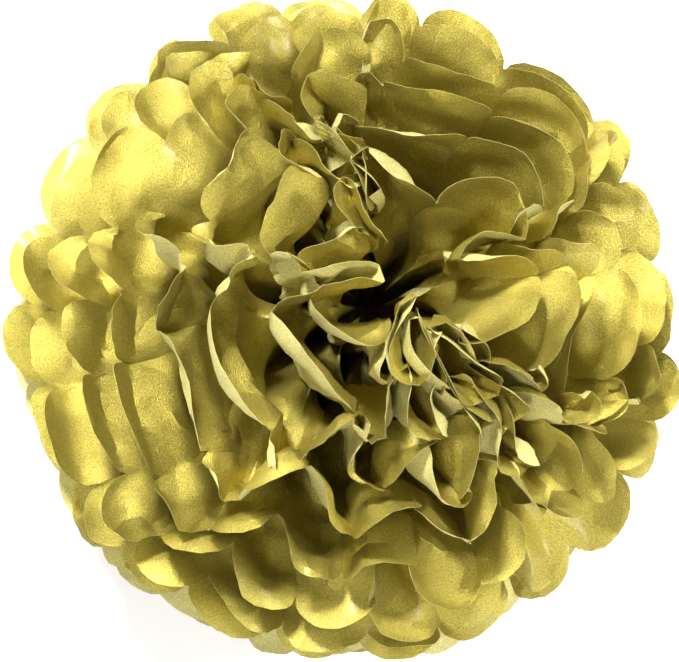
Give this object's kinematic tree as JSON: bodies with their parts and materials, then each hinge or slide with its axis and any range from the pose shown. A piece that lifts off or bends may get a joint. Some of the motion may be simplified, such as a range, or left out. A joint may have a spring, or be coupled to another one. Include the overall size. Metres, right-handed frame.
{
  "type": "tissue paper pom pom",
  "caption": "Ball-shaped party decoration of pleated tissue paper sheets, tied across the middle with wire and fluffed into a dense rosette of round-ended petals.",
  "frame": {"origin": "centre of the ball's footprint, at the bottom of the lowest petals", "axes": "+Z runs through the two poles of the ball, across the stack of sheets; +X runs along the pleats, from the tie to the middle of one half of the stack; +Y runs along the parting between the two halves"},
  "size_m": [0.2994, 0.3, 0.2918],
  "materials": {
    "gold_tissue": "thin tissue paper, satin metallic gold on one side and matte pale olive on the other, lets some light through",
    "steel_wire": "plain thin binding wire"
  },
  "bodies": {
    "root": {"tissue_sheet_01": "gold_tissue", "tissue_sheet_02": "gold_tissue", "tissue_sheet_03": "gold_tissue", "tissue_sheet_04": "gold_tissue", "tissue_sheet_05": "gold_tissue", "tissue_sheet_06": "gold_tissue", "tissue_sheet_07": "gold_tissue", "tissue_sheet_08": "gold_tissue", "tissue_sheet_09": "gold_tissue", "tissue_sheet_10": "gold_tissue", "tissue_sheet_11": "gold_tissue", "tissue_sheet_12": "gold_tissue", "tissue_sheet_13": "gold_tissue", "tissue_sheet_14": "gold_tissue", "tissue_sheet_15": "gold_tissue", "tissue_sheet_16": "gold_tissue", "centre_tie": "steel_wire"}
  },
  "joints": []
}
